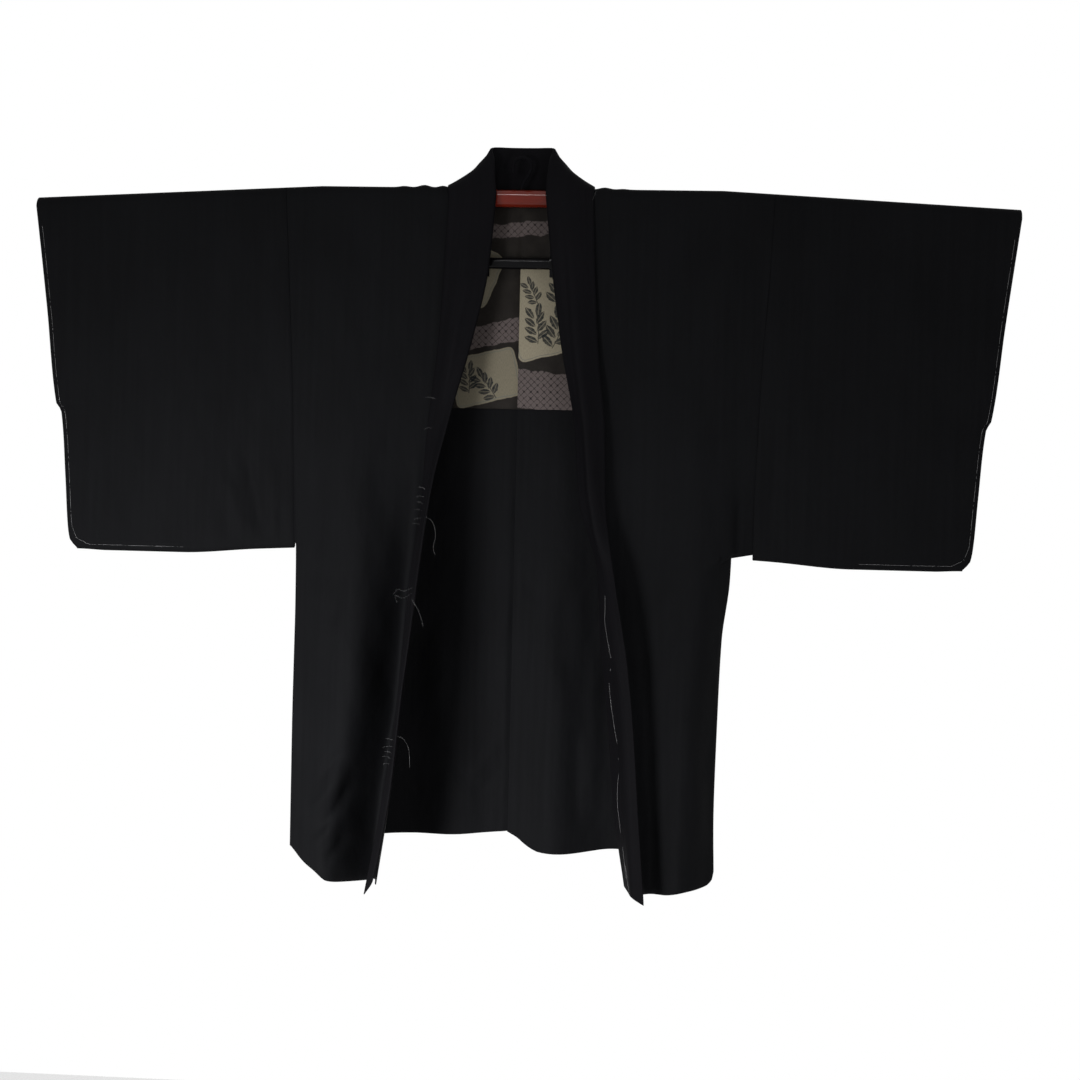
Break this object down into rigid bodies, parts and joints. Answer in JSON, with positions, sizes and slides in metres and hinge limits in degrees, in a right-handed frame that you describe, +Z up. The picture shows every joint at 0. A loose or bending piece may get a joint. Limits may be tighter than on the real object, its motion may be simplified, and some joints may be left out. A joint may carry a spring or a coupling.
{
  "type": "haori jacket on a kimono hanger",
  "caption": "Traditional wide-sleeved black silk haori jacket hung open on a bar hanger, with outward-folded collar, side gussets and patterned back lining.",
  "frame": {"origin": "inside top of the hanger's hook, where the rail or nail bears", "axes": "+X to the wearer's left, +Y to the garment's back, +Z up; the open front faces -Y"},
  "size_m": [1.32, 0.1718, 0.9992],
  "materials": {
    "black_silk": "fine plain-weave silk with a soft sheen",
    "collar_silk": "fine plain-weave silk in several layers",
    "lining_silk": "printed smooth silk",
    "red_lacquer": "glossy red-brown lacquer",
    "black_plastic": "glossy black"
  },
  "bodies": {
    "root": {"body_left": "black_silk", "body_right": "black_silk", "sleeve_left": "black_silk", "sleeve_right": "black_silk", "gusset_left": "black_silk", "gusset_right": "black_silk", "lining_left": "lining_silk", "lining_right": "lining_silk", "collar": "collar_silk", "hanger_tube": "red_lacquer", "hanger_arm_left": "red_lacquer", "hanger_arm_right": "red_lacquer", "obi_bar": "black_plastic", "bar_strut_left": "black_plastic", "bar_strut_right": "black_plastic", "hanger_hook": "black_plastic"}
  },
  "joints": []
}
